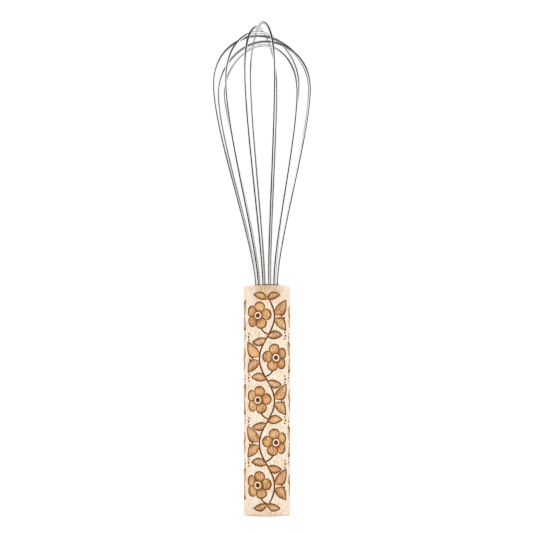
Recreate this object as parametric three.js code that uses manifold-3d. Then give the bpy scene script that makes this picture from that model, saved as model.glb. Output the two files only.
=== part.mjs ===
// A balloon whisk: six nested loops of spring wire held in the end of a turned wooden handle.
// Millimetres, +Z up along the handle. The origin is the middle of the handle's flat base face.
import * as THREE from 'three';
import { mergeVertices } from 'three/addons/utils/BufferGeometryUtils.js';
import Module from 'manifold-3d';

// Handle
const HANDLE_LENGTH = 137.5;
const HANDLE_WALL = 6.1; // wood left round the bore
const HANDLE_EDGE_ROUND = 1.2;

// Wire head, measured from the handle's end face and over the outside of the wires
const HEAD_LENGTH = 162.5;
const HEAD_DIAMETER = 61;
const CAP_HEIGHT = 31.5; // from a loop's widest level up to its crown
const CROWN_GAP = 1.2; // clear space between one loop's crown and the next
const WIRE_DIAMETER = 1.5;

// Socket: the wire legs stand in the flutes of a plug, and resin closes the mouth above it
const SOCKET_DEPTH = 40;
const FLUTE_WEB = 1.45; // plug material left between neighbouring flutes
const SEAL_DEPTH = 6;
const SEAL_RISE = 1.4; // how far the resin stands proud in the middle
const FIT_GAP = 0.3; // clearance between pieces that fit into one another

// Each loop is bent by hand, outermost first: degrees off its even place round the ring,
// degrees that it leans towards +X, how far its crown stands off its even height,
// and degrees that its rising and falling legs splay at their widest level
const FIRST_LOOP_TURN = 100;
const LOOP_TURN_OFFSETS = [4.5, 1, 1.5, 2, 1, 8];
const LOOP_LEANS = [-1.3, -1.6, -1.1, -1.6, -0.9, -2];
const LOOP_LIFTS = [0, -0.1, -0.3, 0.2, -0.6, -0.5];
const RISING_SPLAYS = [0, 4, 6, 1, 1.5, 1.5];
const FALLING_SPLAYS = [0, -4, -3.5, -1, 0, 9];

// Shape of the loop's curves, as shares of each curve's own rise or reach
const MOUTH_TENSION = 0.22;
const BELLY_TENSION = 0.24;
const SHOULDER_TENSION = 0.62;
const CROWN_TENSION = 0.46;

// Fineness of the facets
const ROUND_STEPS = 56;
const EDGE_STEPS = 4;
const FLUTE_STEPS = 6;
const WEB_STEPS = 3;
const DOME_STEPS = 6;
const WIRE_SIDES = 8;
const WIRE_STEPS = 80;
const MERGE_DISTANCE = 1e-4;

// Worked out from the sizes above
const LOOP_COUNT = LOOP_LEANS.length;
const LEG_COUNT = 2 * LOOP_COUNT;
const LEG_ANGLE = (2 * Math.PI) / LEG_COUNT;
const WIRE_RADIUS = WIRE_DIAMETER / 2;
const FLUTE_RADIUS = WIRE_RADIUS + FIT_GAP;
const LEG_PITCH = 2 * FLUTE_RADIUS + FLUTE_WEB;
const LEG_RING_RADIUS = LEG_PITCH / (2 * Math.sin(LEG_ANGLE / 2));
const BORE_RADIUS = LEG_RING_RADIUS + FLUTE_RADIUS;
const HANDLE_RADIUS = BORE_RADIUS + HANDLE_WALL;
const BELLY_RADIUS = HEAD_DIAMETER / 2 - WIRE_RADIUS;
const CROWN_STEP = WIRE_DIAMETER + CROWN_GAP;
const SOCKET_FLOOR = HANDLE_LENGTH - SOCKET_DEPTH;
const SEAL_FLOOR = HANDLE_LENGTH - SEAL_DEPTH;
const FIRST_LEG_ANGLE = THREE.MathUtils.degToRad(FIRST_LOOP_TURN);

const wasm = await Module();
wasm.setup();

function beech() {
  return new THREE.MeshStandardMaterial({ color: 0xf1dcc0, roughness: 0.6, metalness: 0 });
}

function springSteel() {
  return new THREE.MeshStandardMaterial({ color: 0xb4b5b6, roughness: 0.25, metalness: 1 });
}

function darkResin() {
  return new THREE.MeshStandardMaterial({ color: 0x4a3a2c, roughness: 0.35, metalness: 0 });
}

function addMesh(group, name, geometry, material) {
  const mesh = new THREE.Mesh(geometry, material);
  mesh.name = name;
  group.add(mesh);
}

// Points of an arc, both ends included; a negative sweep runs clockwise.
function arcPoints(centre, radius, start, sweep, steps) {
  const points = [];
  for (let i = 0; i <= steps; i += 1) {
    const angle = start + (sweep * i) / steps;
    points.push(new THREE.Vector2(radius * Math.cos(angle), radius * Math.sin(angle)).add(centre));
  }
  return points;
}

// A profile of (radius, height) points turned about the Z axis.
function turned(profile) {
  return new THREE.LatheGeometry(profile, ROUND_STEPS).rotateX(Math.PI / 2);
}

// A closed geometry as a solid that can be cut.
function solidOf(geometry) {
  const surface = new THREE.BufferGeometry();
  surface.setAttribute('position', geometry.getAttribute('position'));
  surface.setIndex(geometry.getIndex());
  const merged = mergeVertices(surface, MERGE_DISTANCE);
  const vertProperties = merged.getAttribute('position').array;
  const triVerts = new Uint32Array(merged.getIndex().array);
  return new wasm.Manifold(new wasm.Mesh({ numProp: 3, vertProperties, triVerts }));
}

function geometryOf(solid) {
  const { vertProperties, triVerts } = solid.getMesh();
  const geometry = new THREE.BufferGeometry();
  geometry.setAttribute('position', new THREE.BufferAttribute(vertProperties, 3));
  geometry.setIndex(new THREE.BufferAttribute(triVerts, 1));
  geometry.computeVertexNormals();
  return geometry;
}

// Handle: a cylinder with rounded rims and a blind bore in its top.
function makeHandle() {
  const edge = HANDLE_EDGE_ROUND;
  const lowRim = new THREE.Vector2(HANDLE_RADIUS - edge, edge);
  const highRim = new THREE.Vector2(HANDLE_RADIUS - edge, HANDLE_LENGTH - edge);
  const profile = [
    new THREE.Vector2(0, 0),
    ...arcPoints(lowRim, edge, -Math.PI / 2, Math.PI / 2, EDGE_STEPS),
    ...arcPoints(highRim, edge, 0, Math.PI / 2, EDGE_STEPS),
    new THREE.Vector2(BORE_RADIUS, HANDLE_LENGTH),
    new THREE.Vector2(BORE_RADIUS, SOCKET_FLOOR),
    new THREE.Vector2(0, SOCKET_FLOOR),
  ];
  return turned(profile);
}

// A round outline with one flute for each wire leg, whatever its radius round the ring of legs.
function flutedOutline(radius) {
  const ring = LEG_RING_RADIUS;
  const reach = (ring ** 2 + radius ** 2 - FLUTE_RADIUS ** 2) / (2 * ring * radius);
  const half = Math.acos(reach);
  const lip = Math.atan2(radius * Math.sin(half), radius * Math.cos(half) - ring);
  const points = [];
  for (let leg = 0; leg < LEG_COUNT; leg += 1) {
    const angle = FIRST_LEG_ANGLE + leg * LEG_ANGLE;
    const centre = new THREE.Vector2(ring * Math.cos(angle), ring * Math.sin(angle));
    const flute = arcPoints(centre, FLUTE_RADIUS, angle - lip, 2 * lip - 2 * Math.PI, FLUTE_STEPS);
    const webSweep = LEG_ANGLE - 2 * half;
    const web = arcPoints(new THREE.Vector2(), radius, angle + half, webSweep, WEB_STEPS);
    points.push(...flute, ...web.slice(1, -1));
  }
  return new THREE.Shape(points);
}

// Core plug: fills the bore inside the ring of legs, from the socket's floor up to the resin.
function makeCorePlug() {
  const floor = SOCKET_FLOOR + FIT_GAP;
  const depth = SEAL_FLOOR - FIT_GAP - floor;
  const outline = flutedOutline(LEG_RING_RADIUS);
  return new THREE.ExtrudeGeometry(outline, { depth, bevelEnabled: false }).translate(0, 0, floor);
}

// Resin seal: a plug round the legs with a domed top.
function makeResinSeal() {
  const radius = BORE_RADIUS - FIT_GAP;
  const depth = SEAL_DEPTH + SEAL_RISE;
  const outline = flutedOutline(radius);
  const prism = new THREE.ExtrudeGeometry(outline, { depth, bevelEnabled: false });
  prism.translate(0, 0, SEAL_FLOOR);
  const profile = [new THREE.Vector2(0, SEAL_FLOOR), new THREE.Vector2(BORE_RADIUS, SEAL_FLOOR)];
  for (let i = 0; i <= DOME_STEPS; i += 1) {
    const share = 1 - i / DOME_STEPS;
    const height = HANDLE_LENGTH + SEAL_RISE * (1 - share ** 2);
    profile.push(new THREE.Vector2(BORE_RADIUS * share, height));
  }
  return geometryOf(solidOf(prism).intersect(solidOf(turned(profile))));
}

// Points of the straight leg and the two curves of half a loop, from its end in the socket to its crown.
function halfLoop(loop, side) {
  const rootAngle = FIRST_LEG_ANGLE - loop * LEG_ANGLE + side * Math.PI;
  const angle = rootAngle + THREE.MathUtils.degToRad(LOOP_TURN_OFFSETS[loop]);
  const lean = Math.tan(THREE.MathUtils.degToRad(LOOP_LEANS[loop]));
  const splays = side === 0 ? RISING_SPLAYS : FALLING_SPLAYS;
  const splay = Math.tan(THREE.MathUtils.degToRad(splays[loop]));
  const crown = HEAD_LENGTH - WIRE_RADIUS - loop * CROWN_STEP + LOOP_LIFTS[loop];
  const belly = crown - CAP_HEIGHT;
  const drop = BELLY_TENSION * belly;
  const climb = SHOULDER_TENSION * CAP_HEIGHT;
  const place = (radius, turn, height) =>
    new THREE.Vector3(
      radius * Math.cos(turn) + lean * Math.max(height, 0),
      radius * Math.sin(turn),
      HANDLE_LENGTH + height,
    );
  const foot = place(LEG_RING_RADIUS, rootAngle, FIT_GAP - SOCKET_DEPTH);
  const mouth = place(LEG_RING_RADIUS, rootAngle, 0);
  const widest = place(BELLY_RADIUS, angle, belly);
  return [
    [foot, mouth],
    [
      mouth,
      place(LEG_RING_RADIUS, rootAngle, MOUTH_TENSION * belly),
      place(BELLY_RADIUS - splay * drop, angle, belly - drop),
      widest,
    ],
    [
      widest,
      place(BELLY_RADIUS + splay * climb, angle, belly + climb),
      place(CROWN_TENSION * BELLY_RADIUS, angle, crown),
      place(0, angle, crown),
    ],
  ];
}

// Wire loop: up one leg, over the crown and down the other.
function makeWireLoop(loop) {
  const path = new THREE.CurvePath();
  const rising = halfLoop(loop, 0);
  const falling = halfLoop(loop, 1).map((points) => points.reverse()).reverse();
  for (const points of [...rising, ...falling]) {
    const Curve = points.length === 2 ? THREE.LineCurve3 : THREE.CubicBezierCurve3;
    path.add(new Curve(...points));
  }
  const sweep = 2 * Math.PI * (1 - 1 / WIRE_SIDES);
  const section = arcPoints(new THREE.Vector2(), WIRE_RADIUS, 0, sweep, WIRE_SIDES - 1);
  const options = { extrudePath: path, steps: WIRE_STEPS, bevelEnabled: false };
  return new THREE.ExtrudeGeometry(new THREE.Shape(section), options);
}

const whisk = new THREE.Group();
addMesh(whisk, 'handle', makeHandle(), beech());
addMesh(whisk, 'core_plug', makeCorePlug(), beech());
addMesh(whisk, 'resin_seal', makeResinSeal(), darkResin());
for (let loop = 0; loop < LOOP_COUNT; loop += 1) {
  addMesh(whisk, `wire_loop_${loop + 1}`, makeWireLoop(loop), springSteel());
}

export default whisk;
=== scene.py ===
"""A balloon whisk, dressed for the camera.

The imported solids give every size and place. This script gives the handle its engraved beech skin,
the wire loops a smooth drawn surface and the mouth its set resin, and lights them on a pale floor.
"""

import logging
import math
from dataclasses import dataclass, field
from enum import IntEnum
from typing import Any, Sequence

import bpy
import numpy as np
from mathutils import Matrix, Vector
from mathutils.geometry import delaunay_2d_cdt

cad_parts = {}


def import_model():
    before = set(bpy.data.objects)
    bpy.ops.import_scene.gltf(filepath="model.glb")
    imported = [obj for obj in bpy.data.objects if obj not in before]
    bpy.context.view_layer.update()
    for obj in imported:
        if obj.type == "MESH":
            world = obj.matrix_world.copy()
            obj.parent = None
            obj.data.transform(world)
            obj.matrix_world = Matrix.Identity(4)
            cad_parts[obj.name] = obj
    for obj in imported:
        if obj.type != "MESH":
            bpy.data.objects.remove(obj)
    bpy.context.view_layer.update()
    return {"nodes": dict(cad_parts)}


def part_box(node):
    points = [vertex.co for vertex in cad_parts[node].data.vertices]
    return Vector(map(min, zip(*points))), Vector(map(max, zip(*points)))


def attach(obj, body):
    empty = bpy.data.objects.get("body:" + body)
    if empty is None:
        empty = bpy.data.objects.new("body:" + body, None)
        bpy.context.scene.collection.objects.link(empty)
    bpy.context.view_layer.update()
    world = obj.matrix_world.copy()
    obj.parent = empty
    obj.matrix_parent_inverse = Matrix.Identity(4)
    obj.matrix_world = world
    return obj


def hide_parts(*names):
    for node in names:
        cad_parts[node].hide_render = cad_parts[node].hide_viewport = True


Point = tuple[float, float]
Place = tuple[float, float, float]
Outline = tuple[Point, ...]
Tree = bpy.types.NodeTree
Socket = bpy.types.NodeSocket

LOG = logging.getLogger("whisk")
MM = 0.001
BODY = "root"
IMAGE_SIDE = 533  # pixels
WHITE = (1.0, 1.0, 1.0, 1.0)
MIXED = 2  # where a Mix node gives its mixed colour
WAVE_PERIOD = 0.314  # length of one band of a Wave texture at a scale of 1
SRGB_KNEE = 0.04045
SRGB_SLOPE = 12.92
SRGB_LIFT = 0.055
SRGB_POWER = 2.4
FULL_TURN = 360.0
HALF_TURN = 180.0
QUARTER_TURN = 90.0
THIRD = 1 / 3
STROKE_END = 1 / 3  # share of a stroke's width that is left at its ends
LEAST_REACH = 1e-9  # keeps a division safe on the axis


def linear(hex_colour: str) -> tuple[float, float, float, float]:
    """Turn an sRGB hex colour into linear RGBA.

    Args:
        hex_colour: Six hex digits after a hash sign.

    Returns:
        Linear red, green and blue with an alpha of 1.
    """
    channels = [int(hex_colour[i:i + 2], 16) / 255 for i in (1, 3, 5)]
    red, green, blue = (
        c / SRGB_SLOPE if c <= SRGB_KNEE else ((c + SRGB_LIFT) / (1 + SRGB_LIFT)) ** SRGB_POWER
        for c in channels)
    return (red, green, blue, 1.0)


def add_node(tree: Tree, kind: str, settings: dict[str, Any] | None = None,
             inputs: dict[str | int, Any] | None = None) -> bpy.types.Node:
    """Add a node with its settings, values and links.

    Args:
        tree: The tree that takes the node.
        kind: Blender's name of the node type.
        settings: Node properties by name.
        inputs: A value, or an output socket to link, by socket identifier, name or number.

    Returns:
        The new node.
    """
    node = tree.nodes.new(kind)
    for name, value in (settings or {}).items():
        setattr(node, name, value)
    for key, value in (inputs or {}).items():
        matches = [s for s in node.inputs if s.identifier == key]
        socket = matches[0] if matches else node.inputs[key]
        if isinstance(value, Socket):
            tree.links.new(value, socket)
        else:
            socket.default_value = value
    return node


def new_material(name: str) -> tuple[bpy.types.Material, Tree]:
    """Make an empty node material.

    Args:
        name: The material's name.

    Returns:
        The material and its node tree.
    """
    material = bpy.data.materials.new(name)
    material.use_nodes = True
    material.node_tree.nodes.clear()
    return material, material.node_tree


def place_piece(name: str, mesh: bpy.types.Mesh, slot: str, *nodes: str) -> bpy.types.Object:
    """Put a finished mesh in the scene in place of its CAD nodes.

    Args:
        name: The piece's name.
        mesh: Its mesh, in the frame's metres.
        slot: The record's material slot; not used.
        nodes: CAD nodes that the piece stands for.

    Returns:
        The new object.
    """
    piece = bpy.data.objects.new(name, mesh)
    bpy.context.scene.collection.objects.link(piece)
    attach(piece, BODY)
    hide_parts(*nodes)
    LOG.info("%s: %d faces for %s", name, len(mesh.polygons), ", ".join(nodes))
    return piece


def new_tree(name: str, sockets: dict[str, str]) -> tuple[Tree, bpy.types.Node, bpy.types.Node]:
    """Start a geometry tree with named inputs.

    Args:
        name: The tree's name.
        sockets: Socket type of each named input, after the geometry.

    Returns:
        The tree, its input node and its output node.
    """
    tree = bpy.data.node_groups.new(name, "GeometryNodeTree")
    tree.interface.new_socket("Geometry", in_out="INPUT", socket_type="NodeSocketGeometry")
    for label, kind in sockets.items():
        tree.interface.new_socket(label, in_out="INPUT", socket_type=kind)
    tree.interface.new_socket("Geometry", in_out="OUTPUT", socket_type="NodeSocketGeometry")
    return tree, add_node(tree, "NodeGroupInput"), add_node(tree, "NodeGroupOutput")


def run_tree(host: bpy.types.Object, tree: Tree, values: dict[str, Any], name: str) -> bpy.types.Mesh:
    """Run a geometry tree on an object, keep its result as a plain mesh and remove the object.

    Args:
        host: Object that holds the tree's input geometry.
        tree: The geometry tree.
        values: The tree's named inputs.
        name: Name of the new mesh.

    Returns:
        The resulting mesh, with its materials.
    """
    modifier = host.modifiers.new(tree.name, "NODES")
    modifier.node_group = tree
    for item in tree.interface.items_tree:
        if item.in_out == "INPUT" and item.name in values:
            modifier[item.identifier] = values[item.name]
    bpy.context.view_layer.update()
    depsgraph = bpy.context.evaluated_depsgraph_get()
    mesh = bpy.data.meshes.new_from_object(
        host.evaluated_get(depsgraph), preserve_all_data_layers=True, depsgraph=depsgraph)
    mesh.name = name
    host.modifiers.clear()
    bpy.data.objects.remove(host)
    return mesh


@dataclass(frozen=True)
class EngravedBeech:
    """Beech turned on a lathe, fine sanded, with burnt engraving. Lengths are in millimetres.

    Beech is pale and even: faint growth rings, short brown ray flecks along the grain and a fibrous
    sheen. A laser browns the floor of a cut, darkest in the narrow lines, and leaves fine scan rows.
    """

    name: str = "beech_sanded_engraved"
    early_wood: str = "#F9EBDC"
    late_wood: str = "#F2DDC7"
    ring_spacing: float = 2.4
    ring_taper: float = 0.015
    ring_drift: float = 22.0
    ring_wander: float = 2.2  # in ring spacings
    drift_octaves: float = 2.0
    pith_offset: Point = (31.0, 46.0)
    late_start: float = 0.25  # in ring spacings
    late_share: float = 0.55
    fibre_width: float = 0.35
    fibre_length: float = 9.0
    fibre_octaves: float = 3.0
    fibre_share: float = 0.7
    grain_ends: Point = (0.2, 0.95)
    fleck: str = "#DDB88C"
    fleck_width: float = 0.75  # real flecks are about half as wide, too fine to show
    fleck_length: float = 2.0
    fleck_octaves: float = 1.0
    fleck_ends: Point = (0.46, 0.74)
    fleck_share: float = 0.85
    # painted shade: the ends are darkened with this colour, in the middle of the front and back only
    painted_end_shade: str = "#E6D8C9"
    painted_end_shade_bands: tuple[tuple[float, float, float], ...] = (  # level where the painted shade starts, level where it is full, and its share
        (124.5, 131.5, 1.0), (10.0, 3.0, 0.42))
    painted_shade_middle: Point = (13.5, 6.5)  # painted shade is gone this far from the middle of the front and back, and full this near
    painted_shade_ragged: float = 4.0
    scorch_light: str = "#F0BD7C"
    scorch: str = "#B07135"
    char: str = "#743C0C"
    scorched: float = 0.5  # share of burning at which no bare wood shows
    streak_width: float = 0.8
    streak_length: float = 2.8
    streak_octaves: float = 2.0
    heat_drift: float = 7.0
    heat_octaves: float = 1.0
    heat_share: float = 0.7
    heat_ends: Point = (0.82, 1.12)
    scan_spacing: float = 0.55  # real rows lie about 0.1 mm apart, too fine to show
    scan_wobble: float = 1.5
    scan_octaves: float = 1.0
    scan_share: float = 0.25
    roughness: float = 0.58
    burnt_roughness: float = 0.8
    bump_strength: float = 0.25
    bump_depth: float = 0.06
    ior: float = 1.5
    specular: float = 0.12

    def material(self) -> bpy.types.Material:
        """Build the node material.

        Returns:
            The beech material, which reads the burn attribute of the mesh.
        """
        material, tree = new_material(self.name)
        where = add_node(tree, "ShaderNodeTexCoord").outputs["Object"]
        wood, fibre = self._wood(tree, where)
        burn = add_node(tree, "ShaderNodeAttribute", {"attribute_name": "burn"}).outputs["Fac"]
        colour, rows = self._burnt(tree, where, wood, burn)
        rough = add_node(tree, "ShaderNodeMapRange", inputs={
            "Value": burn, "To Min": self.roughness, "To Max": self.burnt_roughness})
        height = add_node(tree, "ShaderNodeMath", {"operation": "MULTIPLY_ADD"}, {
            0: rows, 1: burn, 2: fibre})
        bump = add_node(tree, "ShaderNodeBump", inputs={
            "Strength": self.bump_strength, "Distance": self.bump_depth * MM,
            "Height": height.outputs[0]})
        shader = add_node(tree, "ShaderNodeBsdfPrincipled", inputs={
            "Base Color": colour, "Roughness": rough.outputs[0], "Normal": bump.outputs[0],
            "IOR": self.ior, "Specular IOR Level": self.specular})
        add_node(tree, "ShaderNodeOutputMaterial", inputs={"Surface": shader.outputs[0]})
        return material

    def _stretched_noise(self, tree: Tree, where: Socket, width: float, length: float,
                         octaves: float) -> Socket:
        """Make noise drawn out along the grain.

        Args:
            tree: The material's tree.
            where: Object coordinates.
            width: Size across the grain.
            length: Size along the grain.
            octaves: Octaves of the noise.

        Returns:
            The noise value's socket.
        """
        scale = (1 / (width * MM), 1 / (width * MM), 1 / (length * MM))
        mapped = add_node(tree, "ShaderNodeMapping", inputs={"Vector": where, "Scale": scale})
        noise = add_node(tree, "ShaderNodeTexNoise", inputs={
            "Vector": mapped.outputs[0], "Scale": 1.0, "Detail": octaves})
        return noise.outputs[0]

    def _rings(self, tree: Tree, where: Socket, drift: Socket) -> Socket:
        """Draw growth rings round a pith that lies outside the handle.

        Args:
            tree: The material's tree.
            where: Object coordinates.
            drift: Broad noise that bends the rings.

        Returns:
            The socket of the late wood's share.
        """
        spacing = self.ring_spacing * MM
        pith = (self.pith_offset[0] * MM, self.pith_offset[1] * MM, 0.0)
        centred = add_node(tree, "ShaderNodeMapping", inputs={
            "Vector": where, "Location": pith, "Scale": (1.0, 1.0, self.ring_taper)})
        radius = add_node(tree, "ShaderNodeVectorMath", {"operation": "LENGTH"}, {
            0: centred.outputs[0]})
        wander = add_node(tree, "ShaderNodeMath", {"operation": "MULTIPLY_ADD"}, {
            0: drift, 1: self.ring_wander * spacing, 2: radius.outputs["Value"]})
        ring = add_node(tree, "ShaderNodeMath", {"operation": "WRAP"}, {
            0: wander.outputs[0], 1: spacing, 2: 0.0})
        late = add_node(tree, "ShaderNodeMapRange", {"interpolation_type": "SMOOTHSTEP"}, {
            "Value": ring.outputs[0], "From Min": self.late_start * spacing, "From Max": spacing,
            "To Max": self.late_share})
        return late.outputs[0]

    def _wood(self, tree: Tree, where: Socket) -> tuple[Socket, Socket]:
        """Colour the bare wood with rings, fibres and flecks.

        Args:
            tree: The material's tree.
            where: Object coordinates.

        Returns:
            The colour's socket and the fibre pattern's socket.
        """
        drift = add_node(tree, "ShaderNodeTexNoise", inputs={
            "Vector": where, "Scale": 1 / (self.ring_drift * MM), "Detail": self.drift_octaves}).outputs[0]
        fibre = self._stretched_noise(
            tree, where, self.fibre_width, self.fibre_length, self.fibre_octaves)
        fleck = self._stretched_noise(
            tree, where, self.fleck_width, self.fleck_length, self.fleck_octaves)
        fibred = add_node(tree, "ShaderNodeMath", {"operation": "MULTIPLY_ADD", "use_clamp": True}, {
            0: fibre, 1: self.fibre_share, 2: self._rings(tree, where, drift)})
        grain = add_node(tree, "ShaderNodeMapRange", inputs={
            "Value": fibred.outputs[0], "From Min": self.grain_ends[0], "From Max": self.grain_ends[1]})
        wood = add_node(tree, "ShaderNodeMix", {"data_type": "RGBA"}, {
            "Factor_Float": grain.outputs[0], "A_Color": linear(self.early_wood),
            "B_Color": linear(self.late_wood)})
        spots = add_node(tree, "ShaderNodeMapRange", {"interpolation_type": "SMOOTHSTEP"}, {
            "Value": fleck, "From Min": self.fleck_ends[0], "From Max": self.fleck_ends[1],
            "To Max": self.fleck_share})
        flecked = add_node(tree, "ShaderNodeMix", {"data_type": "RGBA"}, {
            "Factor_Float": spots.outputs[0], "A_Color": wood.outputs[MIXED],
            "B_Color": linear(self.fleck)})
        return self._paint_end_shade(tree, where, drift, flecked.outputs[MIXED]), fibre

    def _paint_end_shade(self, tree: Tree, where: Socket, drift: Socket, colour: Socket) -> Socket:
        """Darken the ends of the handle with painted shade, kept to the middle of the front and back where
        less light falls than on the sides.

        Args:
            tree: The material's tree.
            where: Object coordinates.
            drift: Broad noise that makes the edge ragged.
            colour: Colour of the wood before the painted shade.

        Returns:
            The colour's socket.
        """
        place = add_node(tree, "ShaderNodeSeparateXYZ", inputs={0: where})
        across = add_node(tree, "ShaderNodeMath", {"operation": "ABSOLUTE"}, {0: place.outputs["X"]})
        ragged = add_node(tree, "ShaderNodeMath", {"operation": "MULTIPLY_ADD"}, {
            0: drift, 1: self.painted_shade_ragged * MM, 2: across.outputs[0]})
        face = add_node(tree, "ShaderNodeMapRange", {"interpolation_type": "SMOOTHSTEP"}, {
            "Value": ragged.outputs[0], "From Min": self.painted_shade_middle[0] * MM,
            "From Max": self.painted_shade_middle[1] * MM})
        # painted shade at each end, full in the middle of the front and back and gone towards the sides
        for bare, full_shade_level, share in self.painted_end_shade_bands:
            band = add_node(tree, "ShaderNodeMapRange", {"interpolation_type": "SMOOTHSTEP"}, {
                "Value": place.outputs["Z"], "From Min": bare * MM, "From Max": full_shade_level * MM,
                "To Max": share})
            depth = add_node(tree, "ShaderNodeMath", {"operation": "MULTIPLY"}, {
                0: band.outputs[0], 1: face.outputs[0]})
            colour = add_node(tree, "ShaderNodeMix", {"data_type": "RGBA", "blend_type": "MULTIPLY"}, {
                "Factor_Float": depth.outputs[0], "A_Color": colour,
                "B_Color": linear(self.painted_end_shade)}).outputs[MIXED]
        return colour

    def _burnt(self, tree: Tree, where: Socket, wood: Socket, burn: Socket) -> tuple[Socket, Socket]:
        """Brown the engraved floors and walls.

        Args:
            tree: The material's tree.
            where: Object coordinates.
            wood: Colour of the bare wood.
            burn: Share of burning, 0 bare to 1 charred.

        Returns:
            The colour's socket and the scan rows' socket.
        """
        streaks = self._stretched_noise(
            tree, where, self.streak_width, self.streak_length, self.streak_octaves)
        rows = add_node(tree, "ShaderNodeTexWave", {"bands_direction": "Z"}, {
            "Vector": where, "Scale": WAVE_PERIOD / (self.scan_spacing * MM),
            "Distortion": self.scan_wobble, "Detail": self.scan_octaves})
        heat = add_node(tree, "ShaderNodeTexNoise", inputs={
            "Vector": where, "Scale": 1 / (self.heat_drift * MM), "Detail": self.heat_octaves})
        drifted = add_node(tree, "ShaderNodeMath", {"operation": "MULTIPLY_ADD"}, {
            0: heat.outputs[0], 1: self.heat_share, 2: streaks})
        uneven = add_node(tree, "ShaderNodeMath", {"operation": "MULTIPLY_ADD"}, {
            0: rows.outputs["Fac"], 1: self.scan_share, 2: drifted.outputs[0]})
        spread = add_node(tree, "ShaderNodeMapRange", inputs={
            "Value": uneven.outputs[0], "From Min": self.heat_ends[0], "From Max": self.heat_ends[1]})
        floor = add_node(tree, "ShaderNodeMix", {"data_type": "RGBA"}, {
            "Factor_Float": spread.outputs[0], "A_Color": linear(self.scorch),
            "B_Color": linear(self.scorch_light)})
        deep = add_node(tree, "ShaderNodeMapRange", inputs={
            "Value": burn, "From Min": self.scorched, "From Max": 1.0})
        browned = add_node(tree, "ShaderNodeMix", {"data_type": "RGBA"}, {
            "Factor_Float": deep.outputs[0], "A_Color": floor.outputs[MIXED],
            "B_Color": linear(self.char)})
        reached = add_node(tree, "ShaderNodeMapRange", inputs={
            "Value": burn, "From Max": self.scorched})
        colour = add_node(tree, "ShaderNodeMix", {"data_type": "RGBA"}, {
            "Factor_Float": reached.outputs[0], "A_Color": wood, "B_Color": browned.outputs[MIXED]})
        return colour.outputs[MIXED], rows.outputs["Fac"]


@dataclass(frozen=True)
class DrawnSteel:
    """Stainless spring wire, drawn through a die and polished. Lengths are in millimetres.

    The eye sees a bright grey mirror drawn out along the wire, with faint die marks and slightly
    duller patches.
    """

    name: str = "stainless_spring_wire"
    colour: str = "#EDECE9"
    dull: str = "#DDDBD7"
    roughness: float = 0.08
    dull_roughness: float = 0.18
    mark_length: float = 40.0
    marks_around: float = 18.0
    mark_octaves: float = 3.0
    patch: float = 9.0
    patch_octaves: float = 2.0
    wear_ends: Point = (0.15, 0.42)

    def material(self) -> bpy.types.Material:
        """Build the node material.

        Returns:
            The steel material, which reads the wire's own length and turn attributes.
        """
        material, tree = new_material(self.name)
        along = add_node(tree, "ShaderNodeAttribute", {"attribute_name": "wire_length"})
        around = add_node(tree, "ShaderNodeAttribute", {"attribute_name": "wire_turn"})
        drawn = add_node(tree, "ShaderNodeMath", {"operation": "MULTIPLY"}, {
            0: along.outputs["Fac"], 1: 1 / (self.mark_length * MM)})
        turned = add_node(tree, "ShaderNodeMath", {"operation": "MULTIPLY"}, {
            0: around.outputs["Fac"], 1: self.marks_around})
        track = add_node(tree, "ShaderNodeCombineXYZ", inputs={
            "X": drawn.outputs[0], "Y": turned.outputs[0]})
        marks = add_node(tree, "ShaderNodeTexNoise", inputs={
            "Vector": track.outputs[0], "Scale": 1.0, "Detail": self.mark_octaves})
        where = add_node(tree, "ShaderNodeTexCoord").outputs["Object"]
        patches = add_node(tree, "ShaderNodeTexNoise", inputs={
            "Vector": where, "Scale": 1 / (self.patch * MM), "Detail": self.patch_octaves})
        wear = add_node(tree, "ShaderNodeMath", {"operation": "MULTIPLY"}, {
            0: marks.outputs[0], 1: patches.outputs[0]})
        share = add_node(tree, "ShaderNodeMapRange", inputs={
            "Value": wear.outputs[0], "From Min": self.wear_ends[0], "From Max": self.wear_ends[1]})
        colour = add_node(tree, "ShaderNodeMix", {"data_type": "RGBA"}, {
            "Factor_Float": share.outputs[0], "A_Color": linear(self.colour),
            "B_Color": linear(self.dull)})
        rough = add_node(tree, "ShaderNodeMapRange", inputs={
            "Value": share.outputs[0], "To Min": self.roughness, "To Max": self.dull_roughness})
        shader = add_node(tree, "ShaderNodeBsdfPrincipled", inputs={
            "Base Color": colour.outputs[MIXED], "Metallic": 1.0, "Roughness": rough.outputs[0]})
        add_node(tree, "ShaderNodeOutputMaterial", inputs={"Surface": shader.outputs[0]})
        return material


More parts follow.
